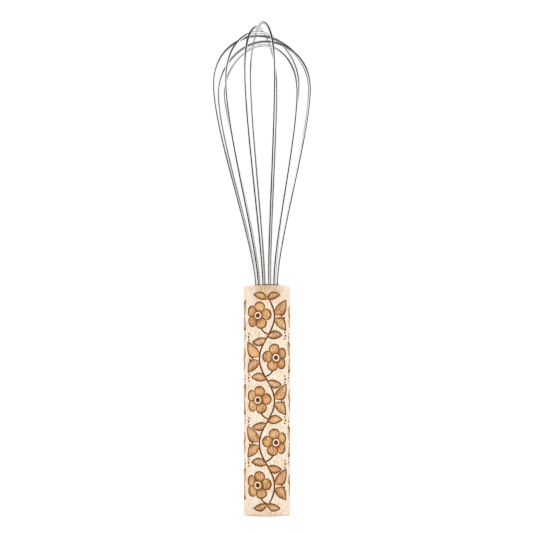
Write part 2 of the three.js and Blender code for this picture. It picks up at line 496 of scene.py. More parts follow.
@dataclass(frozen=True)
class SetResin:
    """Epoxy poured round the wires and left to set: dark, smooth and a little dusty.

    Lengths are in millimetres.
    """

    name: str = "epoxy_set_dark"
    colour: str = "#3B2F26"
    dust: str = "#6B5B4C"
    dust_grain: float = 0.6
    dust_octaves: float = 4.0
    dust_ends: Point = (0.5, 0.85)
    dust_share: float = 0.6
    roughness: float = 0.32
    dusty_roughness: float = 0.6
    bump_strength: float = 0.2
    bump_depth: float = 0.05
    ior: float = 1.55

    def material(self) -> bpy.types.Material:
        """Build the node material.

        Returns:
            The resin material.
        """
        material, tree = new_material(self.name)
        where = add_node(tree, "ShaderNodeTexCoord").outputs["Object"]
        cloud = add_node(tree, "ShaderNodeTexNoise", inputs={
            "Vector": where, "Scale": 1 / (self.dust_grain * MM), "Detail": self.dust_octaves})
        share = add_node(tree, "ShaderNodeMapRange", inputs={
            "Value": cloud.outputs[0], "From Min": self.dust_ends[0], "From Max": self.dust_ends[1],
            "To Max": self.dust_share})
        colour = add_node(tree, "ShaderNodeMix", {"data_type": "RGBA"}, {
            "Factor_Float": share.outputs[0], "A_Color": linear(self.colour),
            "B_Color": linear(self.dust)})
        rough = add_node(tree, "ShaderNodeMapRange", inputs={
            "Value": cloud.outputs[0], "To Min": self.roughness, "To Max": self.dusty_roughness})
        bump = add_node(tree, "ShaderNodeBump", inputs={
            "Strength": self.bump_strength, "Distance": self.bump_depth * MM,
            "Height": cloud.outputs[0]})
        shader = add_node(tree, "ShaderNodeBsdfPrincipled", inputs={
            "Base Color": colour.outputs[MIXED], "Roughness": rough.outputs[0],
            "Normal": bump.outputs[0], "IOR": self.ior})
        add_node(tree, "ShaderNodeOutputMaterial", inputs={"Surface": shader.outputs[0]})
        return material


class Cut(IntEnum):
    """How deep the engraving goes."""

    BARE = 0
    VEIN = 1
    FILL = 2
    SHADE = 3
    LINE = 4


@dataclass(frozen=True)
class Patch:
    """A closed outline in the unrolled plane of the handle, and how deep it is cut."""

    outline: Outline
    cut: Cut


@dataclass(frozen=True)
class Leaf:
    """A leaf as it grows to the right of a rising stem. Sizes are in millimetres."""

    rise: float  # from its level on the stem to its base
    aim: Point  # along its axis
    length: float
    width: float
    curve: float  # bow of its axis as a share of its length


@dataclass(frozen=True)
class Dot:
    """A round cut. Sizes are in millimetres."""

    aside: float  # from the middle of the side
    lift: float  # from its group's level
    radius: float


@dataclass(frozen=True)
class Ray:
    """A straight cut outwards on a petal."""

    turn: float  # from the petal's middle, in half petals
    start: float  # in blossom radii
    end: float
    width: float  # in millimetres
    taper: float
    cut: Cut


def disc(centre: Point, radius: float, steps: int) -> Outline:
    """Outline a disc.

    Args:
        centre: Its middle.
        radius: Its radius.
        steps: Number of points.

    Returns:
        The outline, anticlockwise.
    """
    turns = [2 * math.pi * i / steps for i in range(steps)]
    return tuple((centre[0] + radius * math.cos(a), centre[1] + radius * math.sin(a)) for a in turns)


def bow(start: Point, bend: Point, end: Point, steps: int) -> list[Point]:
    """Follow a quadratic curve.

    Args:
        start: First point.
        bend: Control point.
        end: Last point.
        steps: Number of stretches.

    Returns:
        Points along the curve, both ends included.
    """
    points = []
    for i in range(steps + 1):
        t = i / steps
        weights = ((1 - t) ** 2, 2 * t * (1 - t), t ** 2)
        points.append(tuple(
            sum(w * p[axis] for w, p in zip(weights, (start, bend, end))) for axis in (0, 1)))
    return points


def stroke(path: Sequence[Point], width: float, taper: float) -> Outline:
    """Outline a line of some width that narrows towards its ends.

    Args:
        path: Points along the line's middle.
        width: Full width.
        taper: Share of the length, at each end, over which the width falls.

    Returns:
        The outline, anticlockwise.
    """
    middle = np.array(path)
    tangent = np.gradient(middle, axis=0)
    tangent /= np.linalg.norm(tangent, axis=1, keepdims=True)
    side = np.stack([-tangent[:, 1], tangent[:, 0]], axis=1)
    share = np.linspace(0, 1, len(middle))
    ease = np.clip(np.minimum(share, 1 - share) / taper, 0, 1)
    half = (width / 2 * (STROKE_END + (1 - STROKE_END) * np.sqrt(ease)))[:, None]
    return tuple(map(tuple, np.vstack([middle - side * half, (middle + side * half)[::-1]])))


@dataclass
class VineDesign:
    """A climbing vine of five-petalled blossoms and veined leaves, for one side of the unrolled handle.

    Sizes are in millimetres. The plane's first axis runs round the handle from the middle of the
    side, and its second runs up from the handle's base. A bend is one bow of the stem.
    """

    bottom: float
    top: float
    bends: int = 5
    line_width: float = 0.62
    shade_width: float = 0.6
    stem_reach: float = 4.6
    stem_width: float = 0.95
    stem_taper: float = 0.05
    stem_steps: int = 150
    stalk_start: float = 0.42  # below the bend's middle, in bends
    stalk_bend: Point = (0.8, 0.8)  # share of the blossom's offset, and rise
    stalk_width: float = 0.9
    stalk_taper: float = 0.1
    stalk_steps: int = 14
    bend_leaves: tuple[Leaf, ...] = (
        Leaf(1.4, (8.6, 8.4), 13.0, 7.6, -0.1), Leaf(-1.4, (8.4, -6.6), 11.6, 6.8, 0.1))
    bend_dots: tuple[Dot, ...] = (Dot(11.6, -1.2, 0.7), Dot(11.6, 1.2, 0.7), Dot(9.6, 0.0, 0.8))
    crossing_leaves: tuple[Leaf, ...] = (
        Leaf(-0.8, (-7.6, -1.6), 9.6, 5.2, 0.1), Leaf(0.4, (8.4, 0.9), 10.2, 5.4, 0.08))
    crossing_dots: tuple[Dot, ...] = (
        Dot(12.2, -1.9, 0.62), Dot(12.7, 0.0, 0.78), Dot(12.2, 1.9, 0.62))
    crossing_rises: Point = (0.4, 1.2)  # of the dots behind the stem and ahead of it
    tip_leaf: Leaf = Leaf(-2.2, (7.0, 2.2), 9.2, 4.6, 0.1)
    dot_steps: int = 12
    leaf_fullness: float = 0.85
    leaf_steps: int = 36
    least_width: float = 0.01
    rib_start: float = 0.1  # share of the leaf's length, as for the veins
    rib_reach: float = 0.76
    rib_width: float = 0.5
    rib_taper: float = 0.5
    rib_steps: int = 12
    vein_pairs: int = 3
    vein_start: float = 0.22
    vein_step: float = 0.17
    vein_spread: float = 0.62  # share of the leaf's half width
    vein_bend: float = 0.2
    vein_width: float = 0.36
    vein_taper: float = 0.4
    vein_steps: int = 5
    blossom_radius: float = 8.5
    blossom_offset: float = 5.6
    blossom_rise: float = 0.6
    blossom_turn: float = 0.2
    petals: int = 5
    petal_notch: float = 0.64  # in blossom radii
    petal_fullness: float = 0.55
    petal_steps: int = 24
    petal_rays: tuple[Ray, ...] = (
        Ray(1.0, 0.24, 0.7, 0.6, 0.1, Cut.LINE), Ray(0.0, 0.4, 0.82, 0.55, 0.5, Cut.VEIN),
        Ray(-0.416, 0.44, 0.74, 0.42, 0.5, Cut.VEIN), Ray(0.416, 0.44, 0.74, 0.42, 0.5, Cut.VEIN))
    ray_steps: int = 6
    throat_radius: float = 0.46  # in blossom radii
    throat_steps: int = 36
    eye_rings: tuple[tuple[float, Cut], ...] = ((0.33, Cut.LINE), (0.26, Cut.BARE), (0.16, Cut.LINE))
    eye_steps: int = 28
    patches: list[Patch] = field(default_factory=list)

    @property
    def borders(self) -> tuple[tuple[float, Cut], ...]:
        """Inset and depth of a shape's outline, its shaded edge and its floor."""
        shaded = self.line_width + self.shade_width
        return ((0.0, Cut.LINE), (self.line_width, Cut.SHADE), (shaded, Cut.FILL))

    def compose(self) -> list[Patch]:
        """Lay out the whole side.

        Returns:
            Patches in the order in which they are cut, a later one over an earlier one.
        """
        height = self.top - self.bottom
        levels = [self.bottom + height * i / self.stem_steps for i in range(self.stem_steps + 1)]
        stem = [self._stem_point(level) for level in levels]
        self._cut(stroke(stem, self.stem_width, self.stem_taper), Cut.LINE)
        step = height / self.bends
        for number in range(self.bends):
            middle = self.bottom + step * (number + 0.5)
            side = 1 if number % 2 == 0 else -1
            self._bend(middle, side, step)
            if number:
                self._crossing(middle - step / 2, side)
        self._tip(self.top, 1)
        self._tip(self.bottom, -1)
        return self.patches

    def _cut(self, outline: Outline, cut: Cut) -> None:
        """Add one patch."""
        self.patches.append(Patch(outline, cut))

    def _dot(self, dot: Dot, side: int, level: float) -> None:
        """Cut one dot to the right of the middle, or to the left where side is -1."""
        spot = (side * dot.aside, level + dot.lift)
        self._cut(disc(spot, dot.radius, self.dot_steps), Cut.LINE)

    def _stem_point(self, level: float) -> Point:
        """Give the stem's middle at a level."""
        phase = math.pi * (level - self.bottom) * self.bends / (self.top - self.bottom)
        return (self.stem_reach * math.sin(phase), level)

    def _bend(self, level: float, side: int, step: float) -> None:
        """Fill one bend: a blossom in its hollow, two leaves and dots on its outside.

        Args:
            level: Height of the bend's middle.
            side: Which way the stem bows, 1 or -1.
            step: Height of one bend.
        """
        bloom = (-side * self.blossom_offset, level + self.blossom_rise)
        root = self._stem_point(level - self.stalk_start * step)
        knee = (bloom[0] * self.stalk_bend[0], root[1] + self.stalk_bend[1])
        stalk = bow(root, knee, bloom, self.stalk_steps)
        self._cut(stroke(stalk, self.stalk_width, self.stalk_taper), Cut.LINE)
        for leaf in self.bend_leaves:
            self._leaf(self._stem_point(level + leaf.rise), leaf, side)
        self._blossom(bloom, math.pi / 2 - side * self.blossom_turn)
        for dot in self.bend_dots:
            self._dot(dot, side, bloom[1])

    def _crossing(self, level: float, side: int) -> None:
        """Set small leaves and dots where the stem crosses the middle.

        Args:
            level: Height of the crossing.
            side: Which way the stem goes on.
        """
        for leaf in self.crossing_leaves:
            self._leaf(self._stem_point(level + leaf.rise), leaf, side)
        for way, rise in zip((-side, side), self.crossing_rises):
            for dot in self.crossing_dots:
                self._dot(dot, way, level + rise)

    def _tip(self, level: float, way: int) -> None:
        """End the stem between two small leaves.

        Args:
            level: Height of the stem's end.
            way: 1 at the top, -1 at the bottom.
        """
        aside, end = self._stem_point(level)
        base = (aside, end + self.tip_leaf.rise * way)
        for side in (-1, 1):
            self._leaf(base, self.tip_leaf, side, way)

    def _leaf(self, base: Point, leaf: Leaf, side: int, way: int = 1) -> None:
        """Cut a pointed leaf with standing veins.

        Args:
            base: Where it leaves the stem.
            leaf: Its sizes.
            side: 1 as the sizes say, or -1 for its mirror image across the stem.
            way: 1 as the sizes say, or -1 for its mirror image upside down.
        """
        heading = math.atan2(way * leaf.aim[1], side * leaf.aim[0])
        curve = leaf.curve * side * way
        axis = np.array([math.cos(heading), math.sin(heading)])
        across = np.array([-axis[1], axis[0]])

        def spot(share: float, aside: float) -> Point:
            """Place a point by its share of the length and its distance from the axis."""
            lift = 4 * curve * leaf.length * share * (1 - share) + aside
            return tuple(np.array(base) + axis * leaf.length * share + across * lift)

        def half(share: float) -> float:
            """Give half the leaf's width at a share of its length."""
            return leaf.width / 2 * math.sin(math.pi * share ** self.leaf_fullness) ** self.leaf_fullness

        def blade(inset: float) -> Outline:
            """Outline the leaf, drawn in by an inset.

            Args:
                inset: Distance from the leaf's edge.

            Returns:
                The outline, anticlockwise.
            """
            shares = [i / self.leaf_steps for i in range(self.leaf_steps + 1)]
            kept = [s for s in shares if half(s) > inset + self.least_width]
            right = [spot(s, inset - half(s)) for s in kept]
            left = [spot(s, half(s) - inset) for s in reversed(kept)]
            return tuple(right + left)

        for inset, cut in self.borders:
            self._cut(blade(inset), cut)
        rib = [spot(self.rib_start + self.rib_reach * i / self.rib_steps, 0.0)
               for i in range(self.rib_steps + 1)]
        self._cut(stroke(rib, self.rib_width, self.rib_taper), Cut.VEIN)
        for number in range(self.vein_pairs):
            start = self.vein_start + self.vein_step * number
            end = start + self.vein_step
            for lean in (-1, 1):
                knee = spot((start + end) / 2, lean * self.vein_bend * half(end))
                tip = spot(end, lean * self.vein_spread * half(end))
                vein = bow(spot(start, 0.0), knee, tip, self.vein_steps)
                self._cut(stroke(vein, self.vein_width, self.vein_taper), Cut.VEIN)

    def _blossom(self, centre: Point, turn: float) -> None:
        """Cut an open blossom with standing petal veins and a ringed eye.

        Args:
            centre: Its middle.
            turn: Direction of the first petal in radians.
        """
        def outwards(angle: float, reach: float) -> Point:
            """Place a point by its direction and its distance from the middle."""
            return (centre[0] + reach * math.cos(angle), centre[1] + reach * math.sin(angle))

        def rim(angle: float, inset: float) -> Point:
            """Give the petals' edge in one direction.

            Args:
                angle: The direction in radians.
                inset: Distance from the edge.

            Returns:
                The point.
            """
            swell = abs(math.cos(self.petals * (angle - turn) / 2)) ** self.petal_fullness
            share = self.petal_notch + (1 - self.petal_notch) * swell
            return outwards(angle, self.blossom_radius * share - inset)

        steps = self.petal_steps * self.petals
        angles = [turn + 2 * math.pi * i / steps for i in range(steps)]
        for inset, cut in self.borders:
            self._cut(tuple(rim(a, inset) for a in angles), cut)
        self._cut(disc(centre, self.throat_radius * self.blossom_radius, self.throat_steps), Cut.SHADE)
        spread = math.pi / self.petals
        for petal in range(self.petals):
            for ray in self.petal_rays:
                angle = turn + 2 * spread * petal + ray.turn * spread
                shares = [ray.start + (ray.end - ray.start) * i / self.ray_steps
                          for i in range(self.ray_steps + 1)]
                path = [outwards(angle, self.blossom_radius * share) for share in shares]
                self._cut(stroke(path, ray.width, ray.taper), ray.cut)
        for reach, cut in self.eye_rings:
            self._cut(disc(centre, reach * self.blossom_radius, self.eye_steps), cut)


@dataclass
class EngravedHandle:
    """The turned grip with its engraved skin. Sizes are in millimetres."""

    finish: EngravedBeech
    radius: float
    length: float
    sides: int = 3
    edge_round: float = 1.2
    edge_steps: int = 8
    base_rings: tuple[float, ...] = (10.0, 7.0, 4.0, 1.5)
    crown_ring: float = 10.4
    bore_radius: float = 7.9
    bore_chamfer: float = 0.3
    bore_floor_ring: float = 4.0
    socket_depth: float = 40.0
    base_margin: float = 5.2
    top_margin: float = 6.2
    depths: tuple[float, ...] = (0.0, 0.1, 0.28, 0.36, 0.5)
    burns: tuple[float, ...] = (0.0, 0.2, 0.5, 0.68, 1.0)
    wall_burns: tuple[float, ...] = (0.0, 0.2, 0.45, 0.6, 0.85)
    columns: int = 32
    row_height: float = 1.8
    front: float = -math.pi / 2
    join: float = 1e-5  # points of the plane that lie nearer are one
    weld: float = 0.002
    crease: float = 40.0  # degrees at which an edge shows sharp
    skin_facing: float = 0.9
    skin_reach: float = 0.9
    rim_share: float = 0.99
    vertices: list[Place] = field(default_factory=list)
    faces: list[tuple[int, ...]] = field(default_factory=list)
    face_burns: list[float] = field(default_factory=list)

    @property
    def width(self) -> float:
        """Width of one side in the unrolled plane."""
        return 2 * math.pi * self.radius / self.sides

    def build(self) -> bpy.types.Object:
        """Make the whole handle from copies of one side.

        Returns:
            The handle's object.
        """
        self._skin()
        self._ends()
        mesh = bpy.data.meshes.new("handle_side")
        mesh.from_pydata(self.vertices, [], self.faces)
        mesh.attributes.new("burn", "FLOAT", "FACE").data.foreach_set("value", self.face_burns)
        host = bpy.data.objects.new("handle_side", mesh)
        bpy.context.scene.collection.objects.link(host)
        values = {"Sides": self.sides, "Weld": self.weld * MM}
        whole = run_tree(host, self._copies_tree(), values, "handle_engraved")
        self._smooth(whole)
        return place_piece("handle_engraved", whole, "handle_wood", "handle")

    def _copies_tree(self) -> Tree:
        """Build the tree that sets copies of one side round the axis and welds them.

        Returns:
            The geometry tree.
        """
        tree, source, result = new_tree("sides_round_axis", {
            "Sides": "NodeSocketInt", "Weld": "NodeSocketFloat"})
        points = add_node(tree, "GeometryNodePoints", inputs={"Count": source.outputs["Sides"]})
        turn = add_node(tree, "ShaderNodeMath", {"operation": "DIVIDE"}, {
            0: 2 * math.pi, 1: source.outputs["Sides"]})
        index = add_node(tree, "GeometryNodeInputIndex")
        angle = add_node(tree, "ShaderNodeMath", {"operation": "MULTIPLY"}, {
            0: index.outputs[0], 1: turn.outputs[0]})
        rotation = add_node(tree, "ShaderNodeCombineXYZ", inputs={"Z": angle.outputs[0]})
        copies = add_node(tree, "GeometryNodeInstanceOnPoints", inputs={
            "Points": points.outputs[0], "Instance": source.outputs["Geometry"],
            "Rotation": rotation.outputs[0]})
        real = add_node(tree, "GeometryNodeRealizeInstances", inputs={"Geometry": copies.outputs[0]})
        welded = add_node(tree, "GeometryNodeMergeByDistance", inputs={
            "Geometry": real.outputs[0], "Distance": source.outputs["Weld"]})
        dressed = add_node(tree, "GeometryNodeSetMaterial", inputs={
            "Geometry": welded.outputs[0], "Material": self.finish.material()})
        tree.links.new(dressed.outputs[0], result.inputs[0])
        return tree

    def _place(self, along: float, level: float, depth: float) -> Place:
        """Wrap a point of the unrolled plane onto the handle.

        Args:
            along: Its way round from the middle of the side.
            level: Its height.
            depth: How far it lies under the skin.

        Returns:
            The place in the frame, in metres.
        """
        angle = self.front + along / self.radius
        reach = self.radius - depth
        return (reach * math.cos(angle) * MM, reach * math.sin(angle) * MM, level * MM)

    def _skin(self) -> None:
        """Triangulate one side between its outlines and sink the cut regions."""
        half = self.width / 2
        low, high = self.edge_round, self.length - self.edge_round
        rows = math.ceil((high - low) / self.row_height)
        levels = [low + (high - low) * i / rows for i in range(rows + 1)]
        across = [half * (2 * i / self.columns - 1) for i in range(self.columns + 1)]
        border = [(s, low) for s in across[:-1]] + [(half, t) for t in levels[:-1]]
        border += [(s, high) for s in across[:0:-1]] + [(-half, t) for t in levels[:0:-1]]
        edges = [(i, (i + 1) % len(border)) for i in range(len(border))]
        points = border + [(s, t) for t in levels[1:-1] for s in across[1:-1]]
        patches = VineDesign(self.base_margin, self.length - self.top_margin).compose()
        outlines = []
        for patch in patches:
            outlines.append(list(range(len(points), len(points) + len(patch.outline))))
            points += patch.outline
        plane, _, triangles, _, _, owners = delaunay_2d_cdt(
            [Vector(p) for p in points], edges, outlines, 0, self.join, True)
        cuts = [patches[max(owned)].cut if owned else Cut.BARE for owned in owners]
        self._sink(plane, triangles, cuts)

    def _sink(self, plane: Sequence[Vector], triangles: Sequence[Sequence[int]],
              cuts: Sequence[Cut]) -> None:
        """Set each region at its depth and join the depths by walls.

        Args:
            plane: Points of the unrolled plane.
            triangles: Point numbers of each triangle.
            cuts: How deep each triangle is cut.
        """
        known: dict[tuple[int, int], int] = {}

        def corner(point: int, cut: int) -> int:
            """Give the vertex of a point at a depth, made when first needed.

            Args:
                point: The point's number.
                cut: The depth.

            Returns:
                The vertex's number.
            """
            key = (point, cut)
            if key not in known:
                known[key] = len(self.vertices)
                along, level = plane[point]
                self.vertices.append(self._place(along, level, self.depths[cut]))
            return known[key]

        def column(point: int, top: int, floor: int) -> list[int]:
            """Give a wall's vertices at a point, from its floor up to its top."""
            return [known[point, cut] for cut in range(floor, top - 1, -1) if (point, cut) in known]

        edge_cuts: dict[tuple[int, int], int] = {}
        for triangle, cut in zip(triangles, cuts):
            self.faces.append(tuple(corner(p, cut) for p in triangle))
            self.face_burns.append(self.burns[cut])
            for start, end in zip(triangle, (*triangle[1:], triangle[0])):
                edge_cuts[(start, end)] = cut
        for (start, end), cut in edge_cuts.items():
            other = edge_cuts.get((end, start), cut)
            if other > cut:
                self.faces.append((*column(end, cut, other), *reversed(column(start, cut, other))))
                self.face_burns.append(self.wall_burns[other])

    def _ends(self) -> None:
        """Turn the rounded rims, the end faces and the bore for one side."""
        edge, length, bore = self.edge_round, self.length, self.bore_radius
        floor = length - self.socket_depth
        arc = [math.pi / 2 * i / self.edge_steps for i in range(self.edge_steps + 1)]
        rim = [(self.radius - edge + edge * math.cos(a), edge * math.sin(a)) for a in arc]
        base = [(r, edge - h) for r, h in rim] + [(r, 0.0) for r in self.base_rings]
        crown = [(r, length - edge + h) for r, h in rim]
        crown += [(self.crown_ring, length), (bore + self.bore_chamfer, length)]
        crown += [(bore, length - self.bore_chamfer), (bore, floor), (self.bore_floor_ring, floor)]
        self._turn(base, 0.0, upwards=False)
        self._turn(crown, floor, upwards=True)

    def _turn(self, profile: Sequence[Point], axis_level: float, upwards: bool) -> None:
        """Turn a profile that runs from the skin in to the axis.

        Args:
            profile: Radius and height of each ring.
            axis_level: Height of the last point, on the axis.
            upwards: True where the profile leaves the skin's upper edge.
        """
        angles = [self.front + (2 * i / self.columns - 1) * math.pi / self.sides
                  for i in range(self.columns + 1)]
        count = len(angles)
        first = len(self.vertices)
        last = first + (len(profile) - 1) * count
        for reach, level in profile:
            self.vertices += [
                (reach * math.cos(a) * MM, reach * math.sin(a) * MM, level * MM) for a in angles]
        self.vertices.append((0.0, 0.0, axis_level * MM))
        added: list[tuple[int, ...]] = []
        for ring in range(first, last, count):
            added += [(a, a + 1, a + count + 1, a + count) for a in range(ring, ring + count - 1)]
        added += [(last + i, last + i + 1, last + count) for i in range(count - 1)]
        self.faces += added if upwards else [face[::-1] for face in added]
        self.face_burns += [0.0] * len(added)

    def _smooth(self, mesh: bpy.types.Mesh) -> None:
        """Give the skin the exact normals of a cylinder, and keep the cuts' edges sharp.

        Args:
            mesh: The whole handle.
        """
        mesh.polygons.foreach_set("use_smooth", [True] * len(mesh.polygons))
        mesh.set_sharp_from_angle(angle=math.radians(self.crease))
        corner_count = len(mesh.loops)
        normals = np.empty(corner_count * 3, np.float32)
        mesh.corner_normals.foreach_get("vector", normals)
        normals = normals.reshape(-1, 3)
        corners = np.empty(corner_count, np.int32)
        mesh.loops.foreach_get("vertex_index", corners)
        places = np.empty(len(mesh.vertices) * 3, np.float32)
        mesh.vertices.foreach_get("co", places)
        places = places.reshape(-1, 3)[corners]
        outward = places * np.array([1, 1, 0], np.float32)
        reach = np.linalg.norm(outward, axis=1)
        outward /= np.maximum(reach, LEAST_REACH)[:, None]
        levels = places[:, 2]
        rim = self.edge_round * self.rim_share
        on_skin = (normals * outward).sum(1) > self.skin_facing
        on_skin &= (levels > rim * MM) & (reach > self.skin_reach * self.radius * MM)
        on_skin &= levels < (self.length - rim) * MM
        normals[on_skin] = outward[on_skin]
        mesh.normals_split_custom_set(normals.tolist())


@dataclass
class WireHead:
    """The six hand-bent loops. Sizes are in millimetres, heights from the handle's end face.

    Turns, leans and splays are in degrees, outermost loop first.
    """

    finish: DrawnSteel
    mouth_level: float
    length: float = 162.5
    diameter: float = 61.0
    cap_height: float = 31.5
    crown_step: float = 2.7
    wire_radius: float = 0.75
    ring_radius: float = 6.858
    socket_depth: float = 39.7
    first_turn: float = 100.0
    leg_turn: float = 30.0
    turn_offsets: tuple[float, ...] = (4.5, 1.0, 1.5, 2.0, 1.0, 8.0)
    leans: tuple[float, ...] = (-1.3, -1.6, -1.1, -1.6, -0.9, -2.0)
    lifts: tuple[float, ...] = (0.0, -0.1, -0.3, 0.2, -0.6, -0.5)
    rising_splays: tuple[float, ...] = (0.0, 4.0, 6.0, 1.0, 1.5, 1.5)
    falling_splays: tuple[float, ...] = (0.0, -4.0, -3.5, -1.0, 0.0, 9.0)
    mouth_tension: float = 0.22
    belly_tension: float = 0.24
    shoulder_tension: float = 0.62
    crown_tension: float = 0.46
    path_steps: int = 64
    steps: int = 420
    sides: int = 20

    def build(self) -> list[bpy.types.Object]:
        """Sweep the wire along every loop.

        Returns:
            The loops' objects, outermost first.
        """
        tree = self._sweep_tree()
        values = {"Wire Radius": self.wire_radius * MM, "Sides": self.sides, "Steps": self.steps}
        loops = []
        for loop in range(len(self.leans)):
            name = f"drawn_wire_{loop + 1}"
            mesh = run_tree(self._path(loop), tree, values, name)
            loops.append(place_piece(name, mesh, "spring_wire", f"wire_loop_{loop + 1}"))
        return loops

    def _sweep_tree(self) -> Tree:
        """Build the tree that sweeps a round wire along a path.

        Returns:
            The geometry tree.
        """
        tree, source, result = new_tree("wire_along_path", {
            "Wire Radius": "NodeSocketFloat", "Sides": "NodeSocketInt", "Steps": "NodeSocketInt"})
        even = add_node(tree, "GeometryNodeResampleCurve", inputs={
            "Curve": source.outputs["Geometry"], "Count": source.outputs["Steps"]})
        ring = add_node(tree, "GeometryNodeCurvePrimitiveCircle", inputs={
            "Resolution": source.outputs["Sides"], "Radius": source.outputs["Wire Radius"]})
        travel = add_node(tree, "GeometryNodeSplineParameter")
        on_points = {"data_type": "FLOAT", "domain": "POINT"}
        measured = add_node(tree, "GeometryNodeStoreNamedAttribute", on_points, {
            "Geometry": even.outputs[0], "Name": "wire_length", "Value": travel.outputs["Length"]})
        turned = add_node(tree, "GeometryNodeStoreNamedAttribute", on_points, {
            "Geometry": ring.outputs[0], "Name": "wire_turn", "Value": travel.outputs["Factor"]})
        swept = add_node(tree, "GeometryNodeCurveToMesh", inputs={
            "Curve": measured.outputs[0], "Profile Curve": turned.outputs[0], "Fill Caps": True})
        smooth = add_node(tree, "GeometryNodeSetShadeSmooth", inputs={"Geometry": swept.outputs[0]})
        real = add_node(tree, "GeometryNodeRealizeInstances", inputs={"Geometry": smooth.outputs[0]})
        dressed = add_node(tree, "GeometryNodeSetMaterial", inputs={
            "Geometry": real.outputs[0], "Material": self.finish.material()})
        tree.links.new(dressed.outputs[0], result.inputs[0])
        return tree

    def _half(self, loop: int, side: int) -> list[tuple[Vector, Vector, Vector]]:
        """Give one leg's curve points from its foot up to the crown.

        Args:
            loop: The loop's number, outermost first.
            side: 0 for the leg on the loop's own turn, 1 for the one across.

        Returns:
            The curve handle before each point, the point and the curve handle after it.
        """
        root = math.radians(self.first_turn - loop * self.leg_turn + HALF_TURN * side)
        turn = root + math.radians(self.turn_offsets[loop])
        lean = math.tan(math.radians(self.leans[loop]))
        splay = math.tan(math.radians((self.rising_splays, self.falling_splays)[side][loop]))
        crown = self.length - self.wire_radius - loop * self.crown_step + self.lifts[loop]
        belly = crown - self.cap_height
        reach = self.diameter / 2 - self.wire_radius
        drop = self.belly_tension * belly
        climb = self.shoulder_tension * self.cap_height

        def spot(radius: float, angle: float, height: float) -> Vector:
            """Place a point of the loop in the frame."""
            across = radius * math.cos(angle) + lean * max(height, 0.0)
            return Vector((across, radius * math.sin(angle), self.mouth_level + height)) * MM

        foot = spot(self.ring_radius, root, -self.socket_depth)
        mouth = spot(self.ring_radius, root, 0.0)
        return [
            (foot, foot, foot.lerp(mouth, THIRD)),
            (foot.lerp(mouth, 1 - THIRD), mouth, spot(self.ring_radius, root, self.mouth_tension * belly)),
            (spot(reach - splay * drop, turn, belly - drop), spot(reach, turn, belly),
             spot(reach + splay * climb, turn, belly + climb)),
            (spot(self.crown_tension * reach, turn, crown), spot(0.0, turn, crown),
             spot(-self.crown_tension * reach, turn, crown)),
        ]

    def _path(self, loop: int) -> bpy.types.Object:
        """Make a loop's centre line as a curve.

        Args:
            loop: The loop's number, outermost first.

        Returns:
            A curve object that the sweep runs on.
        """
        falling = [(after, point, before) for before, point, after in reversed(self._half(loop, 1)[:-1])]
        knots = self._half(loop, 0) + falling
        curve = bpy.data.curves.new(f"wire_path_{loop + 1}", "CURVE")
        curve.dimensions = "3D"
        curve.resolution_u = self.path_steps
        spline = curve.splines.new("BEZIER")
        spline.bezier_points.add(len(knots) - 1)
        for knot, (before, point, after) in zip(spline.bezier_points, knots):
            knot.handle_left_type = knot.handle_right_type = "FREE"
            knot.handle_left, knot.co, knot.handle_right = before, point, after
        host = bpy.data.objects.new(f"wire_path_{loop + 1}", curve)
        bpy.context.scene.collection.objects.link(host)
        return host


@dataclass
class ResinMouth:
    """The resin that closes the bore, domed and drawn up a little round each wire.

    Sizes are in millimetres.
    """

    finish: SetResin
    head: WireHead
    bore_radius: float
    bore_gap: float = 0.02
    depth: float = 6.0
    rise: float = 1.4
    creep: float = 0.7
    creep_reach: float = 0.45
    rings: int = 34
    spokes: int = 168
    crease: float = 60.0  # degrees at which an edge shows sharp

    def build(self) -> bpy.types.Object:
        """Shape the resin.

        Returns:
            The resin's object.
        """
        level = self.head.mouth_level
        angles = np.linspace(0, 2 * math.pi, self.spokes, endpoint=False)
        reaches = np.linspace(0, 1, self.rings + 1)[1:] * (self.bore_radius - self.bore_gap)
        grid = reaches[:, None] * np.exp(1j * angles)[None, :]
        tops = level + self._height(grid)
        vertices = [(0.0, 0.0, level + self.rise)]
        vertices += [(z.real, z.imag, h) for z, h in zip(grid.ravel(), tops.ravel())]
        vertices += [(z.real, z.imag, level - self.depth) for z in grid[-1]]
        vertices.append((0.0, 0.0, level - self.depth))
        foot = 1 + self.rings * self.spokes
        faces: list[tuple[int, ...]] = []
        for i in range(self.spokes):
            j = (i + 1) % self.spokes
            faces.append((0, 1 + i, 1 + j))
            for inner in range(1, foot, self.spokes):
                outer = inner + self.spokes
                faces.append((inner + i, outer + i, outer + j, inner + j))
            faces.append((foot + i, len(vertices) - 1, foot + j))
        mesh = bpy.data.meshes.new("resin_mouth")
        mesh.from_pydata([tuple(c * MM for c in v) for v in vertices], [], faces)
        mesh.materials.append(self.finish.material())
        mesh.polygons.foreach_set("use_smooth", [True] * len(mesh.polygons))
        mesh.set_sharp_from_angle(angle=math.radians(self.crease))
        return place_piece("resin_mouth", mesh, "resin", "resin_seal")

    def _height(self, grid: np.ndarray) -> np.ndarray:
        """Give the resin's height above the handle's end face.

        Args:
            grid: Places in the end face as complex numbers.

        Returns:
            The height at each place.
        """
        height = self.rise * (1 - (np.abs(grid) / self.bore_radius) ** 2)
        for leg in range(2 * len(self.head.leans)):
            angle = math.radians(self.head.first_turn + leg * self.head.leg_turn)
            away = np.abs(grid - self.head.ring_radius * np.exp(1j * angle)) - self.head.wire_radius
            height += self.creep * np.exp(-np.maximum(away, 0) / self.creep_reach)
        return height


@dataclass(frozen=True)
class Lamp:
    """A square soft lamp: its middle and side in millimetres, and its power in watts."""

    name: str
    place: Place
    side: float
    power: float


